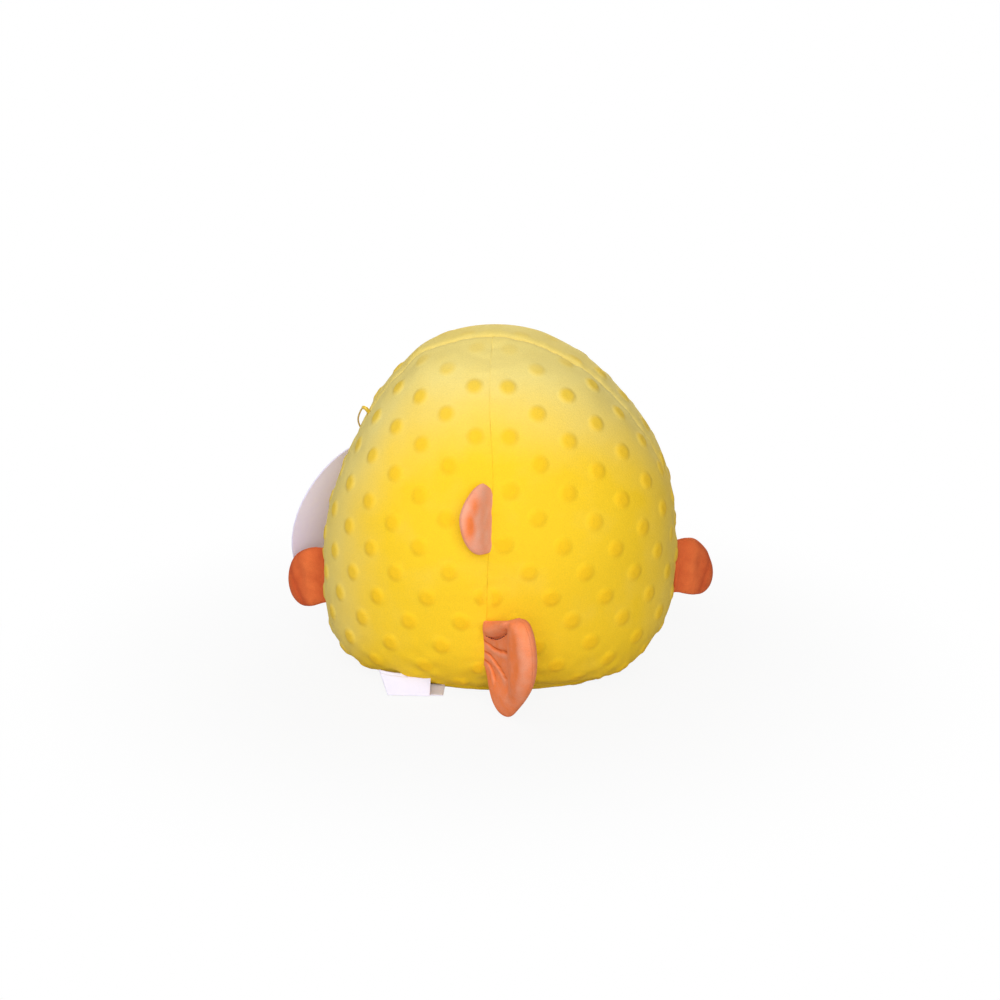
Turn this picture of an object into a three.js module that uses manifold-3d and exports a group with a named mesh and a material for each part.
// A stuffed pufferfish toy, seen in millimetres with +Z up.
// The origin is the middle of the flat underside. The fish looks along +Y, so -X is its left.

import * as THREE from "three";
import Module from "manifold-3d";
import { mergeVertices } from "three/addons/utils/BufferGeometryUtils.js";

// Body: a stuffed egg, widest low down, that stands on a flattened underside.
const BODY_HEIGHT = 192;
const BODY_WIDTH = 202;
const BODY_DEPTH = 165;
const WIDEST_HEIGHT = 62;
const UNDERSIDE_CUT = 7;
const UPPER_FULLNESS = 1.86;
const LOWER_FULLNESS = 3.6;

// Cover: thick dotted plush in two back panels, one front panel and an oval base.
const COVER_FABRIC = 2.2;
const SEAM_GAP = 0.3;
const SEAM_DRAW = 1;
const SEAM_REACH = 9;
const SEAM_LEAN = 7;
const BASE_SEAM_HEIGHT = 3;
const CROWN_OPENING = 2;

// Fins: two velour faces sewn together round a thin pad.
const FIN_FABRIC = 1.2;
const FIN_EDGE = 1.3;

const DORSAL_HEIGHT = 103;
const DORSAL_ROOT = 36;
const DORSAL_LENGTH = 20;
const DORSAL_THICKNESS = 9;
const DORSAL_LEAN = 43;

const TAIL_HEIGHT = 31;
const TAIL_ROOT = 28;
const TAIL_LENGTH = 44;
const TAIL_SPAN = 66;
const TAIL_RISE = 8;
const TAIL_THICKNESS = 14;
const TAIL_SWING = 35;

const LEFT_PECTORAL_HEIGHT = 39;
const RIGHT_PECTORAL_HEIGHT = 49;
const PECTORAL_ROOT = 27;
const PECTORAL_LENGTH = 25;
const PECTORAL_SPAN = 36;
const PECTORAL_THICKNESS = 10;
const LEFT_PECTORAL_SWEEP = 30;
const RIGHT_PECTORAL_SWEEP = 42;

// Face: felt eyes and a stitched mouth on the front panel.
const EYE_SPACING = 78;
const EYE_HEIGHT = 100;
const EYE_DIAMETER = 25;
const PUPIL_DIAMETER = 15;
const FELT = 1;
const MOUTH_HEIGHT = 73;
const MOUTH_WIDTH = 22;
const MOUTH_DROP = 15;
const MOUTH_BAND = 4.5;

// Hang tag: an oval card on a filament out of the left side seam.
const TAG_WIDTH = 74;
const TAG_HEIGHT = 94;
const TAG_CARD = 1;
const TAG_TAPER = 0.1;
const TAG_FACING = 40;
const TAG_SLIDE = -40;
const TAG_CENTRE_HEIGHT = 66;
const TAG_STANDOFF = 2.4;
const TAG_TILT = 23;
const TAG_LEAN = 7;
const TAG_HOLE = 4;
const TAG_HOLE_MARGIN = 5;
const FILAMENT_HEIGHT = 143;
const FILAMENT_DIAMETER = 1;
const PADDLE_LENGTH = 9;
const PADDLE_WIDTH = 4;
const PADDLE_THICKNESS = 1.2;

// Care label: a folded tape that comes out of the base seam and stands against the body.
const LABEL_TAPE = 0.35;
const LABEL_LEFT = -55;
const LABEL_RIGHT = -32;
const LABEL_OUT = 9;
const LABEL_FOLD_HEIGHT = 0.9;
const LABEL_RISE = 9.5;
const LABEL_STEP = 1.4;
const LABEL_LEFT_LEAN = 7;
const LABEL_STANDOFF = 0.8;
const LABEL_SPLAY = 5;
const LABEL_ROOT_WIDTH = 14;

const halfWidth = BODY_WIDTH / 2;
const halfDepth = BODY_DEPTH / 2;
const degrees = THREE.MathUtils.degToRad;
const mix = THREE.MathUtils.lerp;
const LEFT_SEAM = Math.PI;
const BACK_SEAM = 1.5 * Math.PI;
const RIGHT_SEAM = 2 * Math.PI;

const wasm = await Module();
wasm.setup();

const cover = new THREE.MeshStandardMaterial({ color: "#fbd134", roughness: 0.95, metalness: 0 });
const velour = new THREE.MeshStandardMaterial({ color: "#ee8350", roughness: 0.95, metalness: 0 });
const fibre = new THREE.MeshStandardMaterial({ color: "#f4f1ea", roughness: 1, metalness: 0 });
const paleFelt = new THREE.MeshStandardMaterial({ color: "#f7f4ea", roughness: 0.95, metalness: 0 });
const darkFelt = new THREE.MeshStandardMaterial({ color: "#2b2420", roughness: 0.9, metalness: 0 });
const mouthThread = new THREE.MeshStandardMaterial({ color: "#d9683a", roughness: 0.7, metalness: 0 });
const card = new THREE.MeshStandardMaterial({ color: "#d9cfe0", roughness: 0.6, metalness: 0 });
const nylon = new THREE.MeshStandardMaterial({ color: "#d9bb2e", roughness: 0.35, metalness: 0 });
const tape = new THREE.MeshStandardMaterial({ color: "#e4deea", roughness: 0.6, metalness: 0 });

const pufferfish = new THREE.Group();

function addMesh(parent, name, geometry, material) {
  const mesh = new THREE.Mesh(geometry, material);
  mesh.name = name;
  parent.add(mesh);
  return mesh;
}

// Joins rings of points into one closed surface. Every ring has the same even number of points.
// An open row of rings is closed at both ends by a strip that runs across the ring.
function loft(rings, closed = false) {
  const count = rings[0].length;
  const triangles = [];
  const spans = closed ? rings.length : rings.length - 1;
  for (let i = 0; i < spans; i += 1) {
    const near = i * count;
    const far = ((i + 1) % rings.length) * count;
    for (let j = 0; j < count; j += 1) {
      const next = (j + 1) % count;
      triangles.push(near + j, near + next, far + next);
      triangles.push(near + j, far + next, far + j);
    }
  }
  if (!closed) {
    const last = (rings.length - 1) * count;
    for (let j = 0; j < count / 2 - 1; j += 1) {
      const across = count - 1 - j;
      triangles.push(j + 1, j, across);
      triangles.push(j + 1, across, across - 1);
      triangles.push(last + j, last + j + 1, last + across - 1);
      triangles.push(last + j, last + across - 1, last + across);
    }
  }
  const points = rings.flat();
  let volume = 0;
  for (let k = 0; k < triangles.length; k += 3) {
    const [a, b, c] = [points[triangles[k]], points[triangles[k + 1]], points[triangles[k + 2]]];
    volume += a.dot(new THREE.Vector3().crossVectors(b, c));
  }
  const geometry = new THREE.BufferGeometry().setFromPoints(points);
  geometry.setIndex(volume < 0 ? triangles.reverse() : triangles);
  geometry.computeVertexNormals();
  return geometry;
}

function joined(first, second) {
  const solids = [first, second].map((geometry) => {
    const bare = geometry.clone();
    bare.deleteAttribute("normal");
    bare.deleteAttribute("uv");
    const merged = mergeVertices(bare, 1e-4);
    return new wasm.Manifold(
      new wasm.Mesh({
        numProp: 3,
        vertProperties: new Float32Array(merged.attributes.position.array),
        triVerts: new Uint32Array(merged.index.array),
      }),
    );
  });
  const mesh = solids[0].add(solids[1]).getMesh();
  const geometry = new THREE.BufferGeometry();
  geometry.setAttribute("position", new THREE.BufferAttribute(mesh.vertProperties, 3));
  geometry.setIndex(new THREE.BufferAttribute(mesh.triVerts, 1));
  geometry.computeVertexNormals();
  return geometry;
}

// The body's outline at a profile angle: 0 at the widest level, up to 90 degrees at the crown and
// down to -90 degrees at the lowest point that the flat underside cuts off.
function profile(angle) {
  const upper = angle >= 0;
  const fullness = upper ? UPPER_FULLNESS : LOWER_FULLNESS;
  const reach = upper ? BODY_HEIGHT - WIDEST_HEIGHT : WIDEST_HEIGHT + UNDERSIDE_CUT;
  const side = upper ? 1 : -1;
  const rise = Math.sin(Math.abs(angle)) ** (2 / fullness);
  const spread = Math.cos(angle) ** (2 / fullness);
  const slope = (side * (rise / spread) ** (fullness - 1)) / reach;
  return { height: WIDEST_HEIGHT + side * reach * rise, spread, slope };
}

function angleAt(height) {
  const upper = height >= WIDEST_HEIGHT;
  const fullness = upper ? UPPER_FULLNESS : LOWER_FULLNESS;
  const reach = upper ? BODY_HEIGHT - WIDEST_HEIGHT : WIDEST_HEIGHT + UNDERSIDE_CUT;
  const rise = Math.abs(height - WIDEST_HEIGHT) / reach;
  const angle = Math.asin(Math.min(rise, 1) ** (fullness / 2));
  return upper ? angle : -angle;
}

function bodyNormal(angle, turn) {
  const slope = profile(angle).slope;
  return new THREE.Vector3(Math.cos(turn) / halfWidth, Math.sin(turn) / halfDepth, slope).normalize();
}

function bodyPoint(angle, turn, inset) {
  const { height, spread } = profile(angle);
  const x = halfWidth * spread * Math.cos(turn);
  const y = halfDepth * spread * Math.sin(turn);
  return new THREE.Vector3(x, y, height).addScaledVector(bodyNormal(angle, turn), -inset);
}

// Depth of the body's back at a height and a distance from its middle plane.
function backAt(height, x) {
  const { spread } = profile(angleAt(height));
  return -halfDepth * Math.sqrt(Math.max(spread ** 2 - (x / halfWidth) ** 2, 0));
}

function steps(first, last, count) {
  return Array.from({ length: count + 1 }, (_, i) => mix(first, last, i / count));
}

// The cross seam runs in a plane that leans back about the widest level, so it passes behind the crown.
const core = new THREE.Vector3(0, 0, WIDEST_HEIGHT);
const seamLean = degrees(SEAM_LEAN);
const seamUp = new THREE.Vector3(0, -Math.sin(seamLean), Math.cos(seamLean));
const seamFront = new THREE.Vector3(0, Math.cos(seamLean), Math.sin(seamLean));

// A point of the body in the seam's frame: climb is its angle above the core, and turn goes round it.
function coverPoint(climb, turn, inset) {
  const direction = new THREE.Vector3(Math.cos(climb) * Math.cos(turn), 0, 0);
  direction.addScaledVector(seamFront, Math.cos(climb) * Math.sin(turn));
  direction.addScaledVector(seamUp, Math.sin(climb));
  const upper = direction.z >= 0;
  const fullness = upper ? UPPER_FULLNESS : LOWER_FULLNESS;
  const reach = upper ? BODY_HEIGHT - WIDEST_HEIGHT : WIDEST_HEIGHT + UNDERSIDE_CUT;
  const across = Math.hypot(direction.x / halfWidth, direction.y / halfDepth);
  const angle = Math.atan((Math.abs(direction.z) / reach / across) ** (fullness / 2));
  const bodyTurn = Math.atan2(direction.y / halfDepth, direction.x / halfWidth);
  return bodyPoint(upper ? angle : -angle, bodyTurn, inset);
}

// The climb at which the cover passes a height low on the body.
function climbAt(height, turn) {
  let low = -0.48 * Math.PI;
  let high = 0;
  for (let i = 0; i < 40; i += 1) {
    const middle = (low + high) / 2;
    if (coverPoint(middle, turn, 0).z < height) {
      low = middle;
    } else {
      high = middle;
    }
  }
  return (low + high) / 2;
}

// The turn at which a seam passes a height. The side seams lean back, and the back seam is upright.
function seamTurn(height, seam) {
  if (seam === BACK_SEAM) {
    return seam;
  }
  const { spread } = profile(angleAt(height));
  const depth = -Math.tan(seamLean) * (height - WIDEST_HEIGHT);
  const swing = Math.asin(depth / (halfDepth * spread));
  return seam === LEFT_SEAM ? seam - swing : seam + swing;
}

// Levels and turns at which the body's layers are faceted. They lie closer together at the seams.
const baseHeights = steps(0, BASE_SEAM_HEIGHT - SEAM_GAP / 2, 2);
const panelFoot = BASE_SEAM_HEIGHT + SEAM_GAP / 2;
const crownClimb = Math.acos(CROWN_OPENING / coverPoint(Math.PI / 2, 0, 0).distanceTo(core));
const footShares = [0, 0.1, 0.22, 0.36, 0.52, 0.74];
const crownShares = steps(0, 1, 11);
const backShares = [0, 0.035, 0.09, 0.17, 0.3, 0.5, 0.7, 0.83, 0.91, 0.965, 1];
const frontShares = [
  0, 0.018, 0.045, 0.09, 0.155, 0.23, 0.32, 0.41, 0.5, 0.59, 0.68, 0.77, 0.845, 0.91, 0.955, 0.982, 1,
];
const spans = [
  [0, LEFT_SEAM, frontShares],
  [LEFT_SEAM, BACK_SEAM, backShares],
  [BACK_SEAM, RIGHT_SEAM, backShares],
];
const bodyTurns = spans.flatMap(([first, last, shares]) => (
  shares.slice(0, -1).map((share) => mix(first, last, share))
));

// Every level of a panel, as a rule that gives its climb at a turn.
const panelLevels = [
  ...footShares.map((share) => (turn) => mix(climbAt(panelFoot, turn), 0, share)),
  ...crownShares.map((share) => () => share * crownClimb),
];
const baseLevels = baseHeights.map((height) => (turn) => climbAt(height, turn));

function bodyRing(level, inset) {
  return bodyTurns.map((turn) => coverPoint(level(turn), turn, inset));
}

// Stuffing: the body's shape, set in by the cover, with its facets split as the cover's inner ones are.
const stuffingInset = COVER_FABRIC + SEAM_GAP;
const stuffingRings = [...baseLevels, ...panelLevels].map((level) => (
  bodyRing(level, stuffingInset).reverse()
));
addMesh(pufferfish, "body_stuffing", loft(stuffingRings), fibre);

// Cover panels: each runs from the base seam to the crown, and is drawn in along its upright seams.

function seamDraw(point, hasBackSeam) {
  const fromSide = Math.abs(point.clone().sub(core).dot(seamFront));
  const fromBack = hasBackSeam ? Math.abs(point.x) : Infinity;
  const distance = Math.min(fromSide, fromBack);
  return SEAM_DRAW * Math.exp(-((distance / SEAM_REACH) ** 2));
}

function panel(firstSeam, lastSeam, shares, hasBackSeam) {
  const rings = panelLevels.map((level) => {
    const clearance = (seam) => {
      const climb = level(seam);
      const fromAxis = coverPoint(climb, seam, 0).distanceTo(core) * Math.cos(climb);
      return SEAM_GAP / 2 / fromAxis;
    };
    const first = firstSeam + clearance(firstSeam);
    const last = lastSeam - clearance(lastSeam);
    const turns = shares.map((share) => mix(first, last, share));
    const outer = turns.map((turn) => {
      const draw = seamDraw(coverPoint(level(turn), turn, 0), hasBackSeam);
      return coverPoint(level(turn), turn, draw);
    });
    const inner = turns.map((turn) => coverPoint(level(turn), turn, COVER_FABRIC));
    return [...outer, ...inner.reverse()];
  });
  return loft(rings);
}

addMesh(pufferfish, "back_panel_left", panel(LEFT_SEAM, BACK_SEAM, backShares, true), cover);
addMesh(pufferfish, "back_panel_right", panel(BACK_SEAM, RIGHT_SEAM, backShares, true), cover);
addMesh(pufferfish, "front_panel", panel(0, LEFT_SEAM, frontShares, false), cover);

// Base: an oval dish that closes the underside, flat where it stands.
const baseRings = [
  ...baseLevels.map((level) => bodyRing(level, 0)),
  ...baseLevels.map((level) => bodyRing(level, COVER_FABRIC)).reverse(),
];
addMesh(pufferfish, "base_panel", loft(baseRings), cover);

// A fin's own frame: X leads away from the body, Y runs up the seam and Z is its thickness.
// The root is rounded about Y, so that it turns in its seam, and follows the curve of the body.
function finHalf(fin, x, across) {
  if (x < 0) {
    return Math.sqrt(FIN_EDGE ** 2 - x ** 2);
  }
  const along = x / fin.length;
  const swell = along ** fin.rise * (1 - along ** fin.fall);
  const peak = (fin.rise / (fin.rise + fin.fall)) ** (1 / fin.fall);
  const most = peak ** fin.rise * (1 - peak ** fin.fall);
  const pad = fin.thickness / 2 - FIN_EDGE;
  return FIN_EDGE + pad * (swell / most) * Math.sqrt(1 - across ** 2);
}

function finPoint(fin, x, across, height) {
  const along = Math.max(x, 0) / fin.length;
  const y = fin.centre(along) + fin.half(along) * across;
  const rootShare = THREE.MathUtils.clamp(y / (fin.root / 2), -1.1, 1.1);
  const sink = (rootShare > 0 ? fin.sinkAbove : fin.sinkBelow) * rootShare ** 2;
  const reach = x * (1 - fin.bulge * across ** 2 * along);
  return new THREE.Vector3(reach - sink * (1 - along), y, height);
}

const acrossSteps = [-1, -0.9, -0.68, -0.36, 0, 0.36, 0.68, 0.9, 1];
const alongShares = [0, 0.1, 0.22, 0.36, 0.5, 0.64, 0.77, 0.88, 0.95, 1];
const rootShares = [-0.95, -0.7, -0.35];

function finFace(fin, side) {
  const stations = [
    ...rootShares.map((share) => share * FIN_EDGE),
    ...alongShares.map((share) => share * fin.length),
  ];
  const rings = stations.map((x) => {
    const outer = acrossSteps.map((across) => finPoint(fin, x, across, side * finHalf(fin, x, across)));
    const inner = acrossSteps.map((across) => {
      const lining = Math.max(finHalf(fin, x, across) - FIN_FABRIC, SEAM_GAP / 2);
      return finPoint(fin, x, across, side * lining);
    });
    return [...outer, ...inner.reverse()];
  });
  return loft(rings);
}

function finPadding(fin) {
  const rings = [0.16, 0.3, 0.45, 0.6, 0.75, 0.88].map((share) => {
    const x = share * fin.length;
    const sheet = (side) => [-0.75, -0.5, -0.2, 0.2, 0.5, 0.75].map((across) => {
      const room = finHalf(fin, x, across) - FIN_FABRIC;
      const half = Math.max(room - SEAM_GAP, room / 2, SEAM_GAP / 6);
      return finPoint(fin, x, across, side * half);
    });
    return [...sheet(1), ...sheet(-1).reverse()];
  });
  return loft(rings);
}

// Places a fin on a seam. Its group turns about the group's own Y axis, which lies along the seam.
function addFin(name, fin, height, seam, restTurn, faceNames) {
  const angle = angleAt(height);
  const turn = seamTurn(height, seam);
  const outward = bodyNormal(angle, turn);
  const sideways = new THREE.Vector3(-outward.y, outward.x, 0);
  const along = new THREE.Vector3().crossVectors(outward, sideways).normalize();
  const seat = bodyPoint(angle, turn, SEAM_DRAW);
  const sinkAt = (end) => {
    const endHeight = seat.z + (end * fin.root * along.z) / 2;
    return seat.clone().sub(bodyPoint(angleAt(endHeight), turn, SEAM_DRAW)).dot(outward);
  };
  fin.sinkAbove = sinkAt(1);
  fin.sinkBelow = sinkAt(-1);
  const hinge = new THREE.Group();
  hinge.name = `${name}_hinge`;
  hinge.position.copy(seat).addScaledVector(outward, SEAM_GAP + FIN_EDGE);
  const thickness = new THREE.Vector3().crossVectors(outward, along);
  hinge.quaternion.setFromRotationMatrix(new THREE.Matrix4().makeBasis(outward, along, thickness));
  const fabric = new THREE.Group();
  fabric.rotation.y = degrees(restTurn);
  hinge.add(fabric);
  pufferfish.add(hinge);
  addMesh(fabric, `${name}_${faceNames[0]}`, finFace(fin, 1), velour);
  addMesh(fabric, `${name}_${faceNames[1]}`, finFace(fin, -1), velour);
  addMesh(fabric, `${name}_padding`, finPadding(fin), fibre);
}

// Dorsal fin: a half-round pad on the centre back seam, flopped to the left.
const dorsalFin = {
  root: DORSAL_ROOT,
  length: DORSAL_LENGTH,
  thickness: DORSAL_THICKNESS,
  rise: 0.7,
  fall: 3,
  bulge: 0,
  centre: () => 0,
  half: (along) => (DORSAL_ROOT / 2) * Math.sqrt(Math.max(1 - along ** 2.4, 0.05)),
};
addFin("dorsal_fin", dorsalFin, DORSAL_HEIGHT, BACK_SEAM, -DORSAL_LEAN, ["left_face", "right_face"]);

// Tail fin: a fan low on the centre back seam, narrow at the root and full along its free edge.
const tailFin = {
  root: TAIL_ROOT,
  length: TAIL_LENGTH,
  thickness: TAIL_THICKNESS,
  rise: 1,
  fall: 6,
  bulge: 0.16,
  centre: (along) => TAIL_RISE * along,
  half: (along) => mix(TAIL_ROOT / 2, TAIL_SPAN / 2, along ** 0.85) * (1 - 0.22 * along ** 9),
};
addFin("tail_fin", tailFin, TAIL_HEIGHT, BACK_SEAM, TAIL_SWING, ["left_face", "right_face"]);

// Pectoral fins: round paddles on the side seams, swept towards the front.
function pectoralFin() {
  const span = (along) => mix(PECTORAL_ROOT / 2, PECTORAL_SPAN / 2, THREE.MathUtils.smoothstep(along, 0, 0.6));
  return {
    root: PECTORAL_ROOT,
    length: PECTORAL_LENGTH,
    thickness: PECTORAL_THICKNESS,
    rise: 0.7,
    fall: 3,
    bulge: 0.1,
    centre: () => 0,
    half: (along) => span(along) * Math.sqrt(Math.max(1 - along ** 4, 0.18)),
  };
}

addFin("left_pectoral", pectoralFin(), LEFT_PECTORAL_HEIGHT, LEFT_SEAM, -LEFT_PECTORAL_SWEEP, [
  "front_face",
  "back_face",
]);
addFin("right_pectoral", pectoralFin(), RIGHT_PECTORAL_HEIGHT, RIGHT_SEAM, RIGHT_PECTORAL_SWEEP, [
  "back_face",
  "front_face",
]);

// Face pieces lie on the front panel, each at its own height above the fabric.
function facePoint(x, z, lift) {
  const { spread } = profile(angleAt(z));
  const turn = Math.acos(THREE.MathUtils.clamp(x / (halfWidth * spread), -1, 1));
  return bodyPoint(angleAt(z), turn, -lift);
}

function faceDisc(x, z, diameter, lift) {
  const ring = (share, height) => Array.from({ length: 20 }, (_, i) => {
    const turn = ((i + 0.5) / 20) * 2 * Math.PI;
    const radius = (share * diameter) / 2;
    return facePoint(x + radius * Math.cos(turn), z + radius * Math.sin(turn), height);
  });
  const top = lift + FELT;
  return loft([ring(0.4, lift), ring(1, lift), ring(1, top), ring(0.4, top)]);
}

const patchLift = SEAM_GAP;
const pupilLift = patchLift + FELT + SEAM_GAP;
for (const [name, side] of [["left_eye", -1], ["right_eye", 1]]) {
  const x = (side * EYE_SPACING) / 2;
  addMesh(pufferfish, `${name}_patch`, faceDisc(x, EYE_HEIGHT, EYE_DIAMETER, patchLift), paleFelt);
  addMesh(pufferfish, `${name}_pupil`, faceDisc(x, EYE_HEIGHT, PUPIL_DIAMETER, pupilLift), darkFelt);
}

const mouthSections = Array.from({ length: 28 }, (_, i) => {
  const turn = (i / 28) * 2 * Math.PI;
  const at = (inset, lift) => facePoint(
    (MOUTH_WIDTH / 2 - inset) * Math.cos(turn),
    MOUTH_HEIGHT + (MOUTH_DROP / 2 - inset) * Math.sin(turn),
    lift,
  );
  const top = SEAM_GAP + FELT;
  return [at(0, SEAM_GAP), at(0, top), at(MOUTH_BAND, top), at(MOUTH_BAND, SEAM_GAP)];
});
addMesh(pufferfish, "mouth_ring", loft(mouthSections, true), mouthThread);

// Hang tag: its card faces away from the body's left front, top tipped forwards, foot leaning out.
const tagFacing = degrees(TAG_FACING);
const tagAcross = new THREE.Vector3(Math.cos(tagFacing), Math.sin(tagFacing), 0);
const tagOutward = new THREE.Vector3(-Math.sin(tagFacing), Math.cos(tagFacing), 0);
const tagReach = Math.hypot(halfWidth * tagOutward.x, halfDepth * tagOutward.y) + TAG_STANDOFF;
const tagShape = new THREE.Shape(
  Array.from({ length: 40 }, (_, i) => {
    const turn = (-i / 40) * 2 * Math.PI;
    const x = (TAG_WIDTH / 2) * Math.sin(turn) * (1 - TAG_TAPER * Math.cos(turn));
    return new THREE.Vector2(x, (TAG_HEIGHT / 2) * Math.cos(turn));
  }),
);
const tagHoleHeight = TAG_HEIGHT / 2 - TAG_HOLE_MARGIN;
const tagHole = new THREE.Path(
  Array.from({ length: 16 }, (_, i) => {
    const turn = (-i / 16) * 2 * Math.PI;
    const radius = TAG_HOLE / 2;
    return new THREE.Vector2(radius * Math.cos(turn), tagHoleHeight + radius * Math.sin(turn));
  }),
);
tagShape.holes.push(tagHole);
const tagHang = new THREE.Group();
tagHang.name = "hang_tag_hinge";
const filamentTurn = seamTurn(FILAMENT_HEIGHT, LEFT_SEAM);
const filamentSeat = bodyPoint(angleAt(FILAMENT_HEIGHT), filamentTurn, SEAM_DRAW);
const filamentOutward = bodyNormal(angleAt(FILAMENT_HEIGHT), filamentTurn);
tagHang.position.copy(filamentSeat);
const tagPlane = new THREE.Group();
tagPlane.position.copy(tagOutward).multiplyScalar(tagReach);
tagPlane.position.addScaledVector(tagAcross, TAG_SLIDE);
tagPlane.position.z = TAG_CENTRE_HEIGHT;
tagPlane.position.sub(filamentSeat);
const upright = new THREE.Vector3(0, 0, 1);
const tagFace = new THREE.Vector3().crossVectors(tagAcross, upright);
tagPlane.quaternion.setFromRotationMatrix(new THREE.Matrix4().makeBasis(tagAcross, upright, tagFace));
const tagLean = new THREE.Group();
tagLean.rotation.x = degrees(TAG_LEAN);
const tagTilt = new THREE.Group();
tagTilt.rotation.z = -degrees(TAG_TILT);
tagHang.add(tagPlane);
tagPlane.add(tagLean);
tagLean.add(tagTilt);
pufferfish.add(tagHang);
const tagGeometry = new THREE.ExtrudeGeometry(tagShape, {
  depth: TAG_CARD,
  bevelEnabled: false,
  curveSegments: 12,
});
const tagMesh = addMesh(tagTilt, "hang_tag", tagGeometry, card);
pufferfish.updateMatrixWorld(true);

// Fastener: a filament from the seam, round the body and through the card's hole to a flat paddle.
const filamentRadius = FILAMENT_DIAMETER / 2;
const threadHeight = tagHoleHeight + TAG_HOLE / 2 - filamentRadius - SEAM_GAP;
const tagPoint = (x, y, z) => tagMesh.localToWorld(new THREE.Vector3(x, y, z));
const paddleFace = -SEAM_GAP;
const holeInside = tagPoint(0, threadHeight, TAG_CARD + FILAMENT_DIAMETER);
const holeOutside = tagPoint(0, threadHeight, paddleFace - PADDLE_THICKNESS / 2);
const filamentClearance = filamentRadius + SEAM_GAP;
const filamentStart = filamentSeat.clone().addScaledVector(filamentOutward, SEAM_GAP);
const insideTurn = Math.atan2(holeInside.y / halfDepth, holeInside.x / halfWidth);
const filamentGuides = [0.15, 0.35, 0.55, 0.75].map((share) => {
  const height = mix(FILAMENT_HEIGHT, holeInside.z, share);
  const turn = mix(filamentTurn, insideTurn, share);
  const lift = filamentClearance + FILAMENT_DIAMETER;
  return bodyPoint(angleAt(height), turn, -lift);
});
const filamentPath = new THREE.CatmullRomCurve3(
  [filamentStart, ...filamentGuides, holeInside, holeOutside],
  false,
  "centripetal",
);
const filamentSection = new THREE.Shape(
  Array.from({ length: 8 }, (_, i) => {
    const turn = (i / 8) * 2 * Math.PI;
    return new THREE.Vector2(filamentRadius * Math.cos(turn), filamentRadius * Math.sin(turn));
  }),
);
const filament = new THREE.ExtrudeGeometry(filamentSection, { steps: 30, extrudePath: filamentPath });
const paddle = new THREE.BoxGeometry(PADDLE_LENGTH, PADDLE_WIDTH, PADDLE_THICKNESS);
paddle.translate(0, threadHeight, paddleFace - PADDLE_THICKNESS / 2);
paddle.applyMatrix4(tagMesh.matrixWorld);
const fastener = joined(filament, paddle);
fastener.translate(-filamentSeat.x, -filamentSeat.y, -filamentSeat.z);
addMesh(tagHang, "tag_fastener", fastener, nylon);

// Care label: two plies stand on a fold line, with the taller ply next to the body.
const labelHinge = new THREE.Group();
labelHinge.name = "care_label_hinge";
const labelMiddle = (LABEL_LEFT + LABEL_RIGHT) / 2;
const foldDepth = backAt(BASE_SEAM_HEIGHT, LABEL_RIGHT) - LABEL_OUT;
labelHinge.position.set(labelMiddle, foldDepth, LABEL_FOLD_HEIGHT);
pufferfish.add(labelHinge);

// The right end rests on the body, and the left end stands free of it.
const labelTop = LABEL_RISE + LABEL_STEP;
const restDepth = backAt(LABEL_FOLD_HEIGHT + labelTop, LABEL_RIGHT) - LABEL_STANDOFF;
const labelRightLean = ((restDepth - foldDepth) * LABEL_RISE) / labelTop;

function labelPly(rise, back) {
  const rings = steps(0, 1, 6).map((share) => {
    const x = mix(LABEL_LEFT, LABEL_RIGHT, share) - labelMiddle;
    const splay = mix(-LABEL_SPLAY, 0, share);
    const lean = mix(LABEL_LEFT_LEAN, labelRightLean, share);
    const sheet = (depth, up) => {
      const climb = up / LABEL_RISE;
      return new THREE.Vector3(x + splay * climb, depth + lean * climb, up);
    };
    return [
      sheet(back, 0),
      sheet(back, rise / 2),
      sheet(back, rise),
      sheet(back - LABEL_TAPE, rise),
      sheet(back - LABEL_TAPE, rise / 2),
      sheet(back - LABEL_TAPE, 0),
    ];
  });
  return loft(rings);
}

addMesh(labelHinge, "care_label_back_ply", labelPly(labelTop, 0), tape);
addMesh(labelHinge, "care_label_front_ply", labelPly(LABEL_RISE, -LABEL_TAPE - SEAM_GAP), tape);

// The tape's root runs from the base seam, under the body, to the fold line.
const rootX = [LABEL_RIGHT - LABEL_ROOT_WIDTH / 2, LABEL_RIGHT + LABEL_ROOT_WIDTH / 2];
const rootRings = steps(rootX[0], rootX[1], 4).map((x) => {
  const sewnTop = BASE_SEAM_HEIGHT - SEAM_GAP;
  const sewnY = backAt(BASE_SEAM_HEIGHT, x);
  const foldTop = LABEL_FOLD_HEIGHT;
  const foldY = foldDepth + SEAM_GAP;
  return [
    new THREE.Vector3(x, sewnY, sewnTop),
    new THREE.Vector3(x, foldY, foldTop),
    new THREE.Vector3(x, foldY, foldTop - LABEL_TAPE),
    new THREE.Vector3(x, sewnY, sewnTop - LABEL_TAPE),
  ];
});
addMesh(pufferfish, "care_label_root", loft(rootRings), tape);

export default pufferfish;
